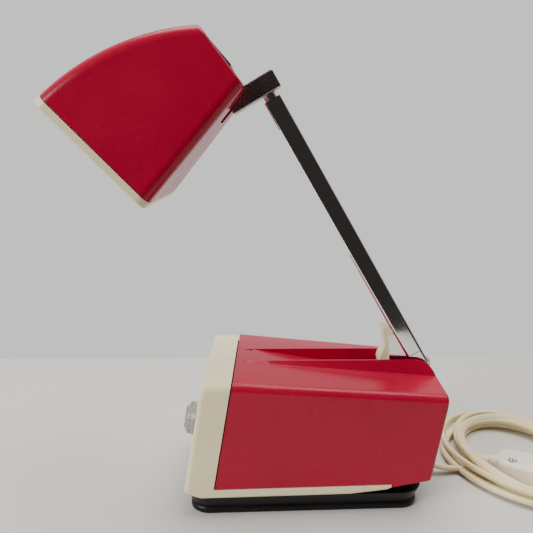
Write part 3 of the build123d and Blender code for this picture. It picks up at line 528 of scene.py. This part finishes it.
# %% [markdown]
# Small moulded details repeat: ribs round the knob, ridges on the collar of the neck, rings on the
# gland, bars on the plug's grip. Geometry Nodes make each set. Two trees hold the two layouts: a circle
# of copies that face outwards, and a straight row. Their inputs are named, and each is set by its
# identifier before the piece is first evaluated. The result becomes a plain mesh that is moved to its
# place by its vertices, so that the object itself stays at the origin.


# %% Trees for rings and rows
def layout_tree(name, in_a_ring):
    """A tree that copies a shape in a ring round Z, or in a row along Z."""
    tree = bpy.data.node_groups.new(name, "GeometryNodeTree")
    tree.interface.new_socket("Geometry", in_out="OUTPUT", socket_type="NodeSocketGeometry")
    sockets = [("Shape", "Object"), ("Count", "Int"), ("Distance", "Float"), ("Finish", "Material")]
    for label, kind in sockets:
        tree.interface.new_socket(label, in_out="INPUT", socket_type="NodeSocket" + kind)
    link, add = tree.links.new, tree.nodes.new
    given = add("NodeGroupInput")
    shape = add("GeometryNodeObjectInfo")
    copies = add("GeometryNodeInstanceOnPoints")
    link(given.outputs["Shape"], shape.inputs["Object"])
    link(shape.outputs["Geometry"], copies.inputs["Instance"])
    if in_a_ring:
        places = add("GeometryNodeMeshCircle")
        link(given.outputs["Count"], places.inputs["Vertices"])
        link(given.outputs["Distance"], places.inputs["Radius"])
        outwards = add("FunctionNodeAlignRotationToVector")
        outwards.axis = "X"
        link(add("GeometryNodeInputPosition").outputs["Position"], outwards.inputs["Vector"])
        link(outwards.outputs["Rotation"], copies.inputs["Rotation"])
    else:
        places = add("GeometryNodeMeshLine")
        step = add("ShaderNodeCombineXYZ")
        link(given.outputs["Count"], places.inputs["Count"])
        link(given.outputs["Distance"], step.inputs["Z"])
        link(step.outputs["Vector"], places.inputs["Offset"])
    link(places.outputs["Mesh"], copies.inputs["Points"])
    real = add("GeometryNodeRealizeInstances")
    paint = add("GeometryNodeSetMaterial")
    done = add("NodeGroupOutput")
    link(copies.outputs["Instances"], real.inputs["Geometry"])
    link(real.outputs["Geometry"], paint.inputs["Geometry"])
    link(given.outputs["Finish"], paint.inputs["Material"])
    link(paint.outputs["Geometry"], done.inputs["Geometry"])
    return tree


ring_tree, row_tree = layout_tree("ring_of_copies", True), layout_tree("row_of_copies", False)

# %% [markdown]
# A copied shape has few faces: a block with its edges bevelled once, or a thin ring. Both are made at
# the origin and deleted when their copies are a mesh.


# %% Shapes to copy
def block(size, bevel):
    mesh = bmesh.new()
    bmesh.ops.create_cube(mesh, size=1.0)
    bmesh.ops.scale(mesh, vec=size, verts=mesh.verts)
    bmesh.ops.bevel(mesh, geom=mesh.edges[:], offset=bevel, segments=2, affect="EDGES", profile=0.5)
    shape = new_object("block", [(0, 0, 0)], [])
    mesh.to_mesh(shape.data)
    mesh.free()
    shape.data.shade_smooth()
    return shape


def hoop(radius, wire, steps=40, sides=8):
    vertices, faces = [], []
    for i in range(steps):
        a = math.tau * i / steps
        for k in range(sides):
            b = math.tau * k / sides
            out = radius + wire * math.cos(b)
            vertices.append((out * math.cos(a), out * math.sin(a), wire * math.sin(b)))
            n, m = (i + 1) % steps, (k + 1) % sides
            faces.append((i * sides + k, n * sides + k, n * sides + m, i * sides + m))
    return new_object("hoop", vertices, faces)


def frame_at(place, axis, across=(0, 1, 0)):
    """A matrix that puts Z on an axis and Y as near as can be to across."""
    z = Vector(axis).normalized()
    x = Vector(across).cross(z).normalized()
    return Matrix.Translation(place) @ Matrix((x, z.cross(x), z)).transposed().to_4x4()


def copies_of(name, tree, shape, count, distance, material, place, body):
    piece = new_object(name, [(0, 0, 0)], [])
    modifier = piece.modifiers.new("copies", "NODES")
    modifier.node_group = tree
    values = {"Shape": shape, "Count": count, "Distance": distance, "Finish": material}
    for item in tree.interface.items_tree:
        if item.name in values:
            modifier[item.identifier] = values[item.name]
    graph = bpy.context.evaluated_depsgraph_get()
    mesh = bpy.data.meshes.new_from_object(piece.evaluated_get(graph))
    piece.modifiers.remove(modifier)
    piece.data = mesh
    mesh.name = name
    mesh.transform(place)
    bpy.data.objects.remove(shape)
    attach(piece, body)
    print(name, len(mesh.polygons), "faces")
    return piece


# %% [markdown]
# The knob's skirt has fine ribs for the fingers. They stand on the joint's own axis, which the frame
# gives, so they turn with the knob. The collar under the link is ridged in the same way.

# %% Ribs and ridges round joints
joints = {joint["name"]: joint for joint in frame["joints"]}


def axis_of(name):
    joint = joints[name]
    return Vector(joint["pos_m"]), Vector(joint["axis"]).normalized()


def middle_of(name):
    low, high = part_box(name)
    return (Vector(low) + Vector(high)) / 2


def along_axis(name, at, axis):
    """The point of an axis that is level with the middle of a part."""
    return at + axis * (middle_of(name) - at).dot(axis)


SKIRT_BACK = 0.0009  # the skirt's middle is this far behind the knob's
knob_at, knob_out = axis_of("knob_turn")
knob_place = along_axis("switch_knob", knob_at, knob_out) - knob_out * SKIRT_BACK
copies_of(
    "knob_ribs", ring_tree, block((0.0011, 0.0009, 0.0040), 0.0003), 36, 0.0092, grey,
    frame_at(knob_place, knob_out), "knob",
)

neck_at, neck_up = axis_of("head_swivel")
copies_of(
    "collar_ridges", ring_tree, block((0.0007, 0.0005, 0.0022), 0.00018), 26, 0.0040, steel,
    frame_at(along_axis("neck_nut", neck_at, neck_up), neck_up), "link",
)

# %% [markdown]
# The gland's nose is a stack of soft rings, so that the flex can't kink where it leaves the foot. Bars
# on both faces of the plug give the fingers a grip.

# %% Rings on the gland and grip bars on the plug
copies_of(
    "gland_rings", row_tree, hoop(0.0040, 0.00055), 4, 0.0016, black,
    frame_at((0.0776, 0, 0.008), (1, 0, 0)), "base",
)
PLUG_MIDDLE, PLUG_AXIS = Vector((0.151, -0.007, 0.007)), Vector((0.86, -0.51, 0)).normalized()
plug_across = PLUG_AXIS.cross(Vector((0, 0, 1)))
PLUG_FACE, FIRST_BAR = 0.0067, 0.0128  # up to a face, and back to the first bar, from the middle
for face_name, side in (("top", 1), ("under", -1)):
    bar_place = PLUG_MIDDLE - PLUG_AXIS * FIRST_BAR + Vector((0, 0, side * PLUG_FACE))
    copies_of(
        "plug_grip_" + face_name, row_tree, block((0.0009, 0.0130, 0.0008), 0.0003), 5, 0.0021, plug_white,
        frame_at(bar_place, PLUG_AXIS, plug_across), "base",
    )

# %% [markdown]
# Inside the clear bulb a coiled filament hangs between two support wires. It is a helix swept as a thin
# tube, across the axis of the bulb, which runs from the middle of the cap to the middle of the glass.


# %% Filament
def round_section(radius, sides=6):
    angles = [math.tau * k / sides for k in range(sides)]
    return [(radius * math.cos(a), radius * math.sin(a)) for a in angles]


def wire_in_bulb(name, line, radius):
    wire = sweep(name, line, lambda distance: round_section(radius))
    wire.data.materials.append(steel)
    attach(wire, "head")


FILAMENT_HALF, FILAMENT_COILS, COIL_RADIUS, STEPS_A_COIL = 0.0045, 14, 0.0006, 10
glass_middle, cap_middle = middle_of("bulb_glass"), middle_of("bulb_cap")
bulb_axis = (glass_middle - cap_middle).normalized()
across = Vector((0, 1, 0))
third = bulb_axis.cross(across)
helix = []
for i in range(FILAMENT_COILS * STEPS_A_COIL + 1):
    share = i / (FILAMENT_COILS * STEPS_A_COIL)
    a = math.tau * FILAMENT_COILS * share
    around = (third * math.cos(a) + bulb_axis * math.sin(a)) * COIL_RADIUS
    helix.append(glass_middle + across * (2 * share - 1) * FILAMENT_HALF + around)
wire_in_bulb("filament", helix, 0.00012)

INTO_CAP, WIRES_APART = 0.004, 0.0044
for side_name, side, end in (("left", -1, helix[0]), ("right", 1, helix[-1])):
    foot_of_wire = cap_middle + bulb_axis * INTO_CAP + across * side * WIRES_APART / 2
    support = [end.lerp(foot_of_wire, share) for share in (0, 0.3, 0.65, 1)]
    wire_in_bulb("support_wire_" + side_name, support, 0.00025)

# %% [markdown]
# The lamp stands on a plain pale table. Past its far edge there is only pale light, and the room in
# front of it is dark, which is what the chrome and the glossy panel show.


# %% Table
TABLE_FRONT, TABLE_BACK, TABLE_HALF = -0.32, 0.224, 1.6
floor = new_object(
    "floor",
    [
        (-TABLE_HALF, TABLE_FRONT, 0),
        (TABLE_HALF, TABLE_FRONT, 0),
        (TABLE_HALF, TABLE_BACK, 0),
        (-TABLE_HALF, TABLE_BACK, 0),
    ],
    [(0, 1, 2, 3)],
    False,
)
floor.data.materials.append(
    finish("pale_floor", (0.66, 0.64, 0.60), (0.45, 0.55), bump=0.0, cloud=3.0, spread=0.015)
)

# %% [markdown]
# Soft daylight comes from a broad window high on the right, with a weaker one in front on the left that
# lights the cream panel. The world is a gradient that darkens towards the front.


# %% Light
def window(name, at, towards, size, power, color=(1, 1, 1)):
    data = bpy.data.lights.new(name, "AREA")
    data.shape = "RECTANGLE"
    data.size, data.size_y = size
    data.energy = power
    data.color = color
    lamp = bpy.data.objects.new(name, data)
    lamp.location = at
    lamp.rotation_euler = (Vector(towards) - Vector(at)).to_track_quat("-Z", "Y").to_euler()
    bpy.context.scene.collection.objects.link(lamp)


window("window_top", (0.15, 0.15, 1.25), (0, 0.0, 0.1), (1.1, 0.8), 16.0, (1.0, 0.985, 0.96))
window("window_left", (-0.95, -0.75, 0.75), (-0.05, 0, 0.1), (0.7, 0.7), 18.0, (0.97, 0.985, 1.0))

world = bpy.data.worlds.new("room")
world.use_nodes = True
bpy.context.scene.world = world
room = world.node_tree
room.nodes.clear()
link, add = room.links.new, room.nodes.new
seen = add("ShaderNodeTexCoord")
split = add("ShaderNodeSeparateXYZ")
# a direction's Y runs from -1 in front to 1 behind, and the ramp reads 0 to 1
depth = add("ShaderNodeMapRange")
depth.inputs["From Min"].default_value = -1
shade = add("ShaderNodeValToRGB")
DIM, PALE = (0.035, 0.030, 0.028, 1), (0.86, 0.86, 0.85, 1)
for element, position, color in zip(shade.color_ramp.elements, (0.30, 0.75), (DIM, PALE)):
    element.position, element.color = position, color
glow = add("ShaderNodeBackground")
sky = add("ShaderNodeOutputWorld")
link(seen.outputs["Generated"], split.inputs["Vector"])
link(split.outputs["Y"], depth.inputs["Value"])
link(depth.outputs["Result"], shade.inputs["Fac"])
link(shade.outputs["Color"], glow.inputs["Color"])
link(glow.outputs["Background"], sky.inputs["Surface"])
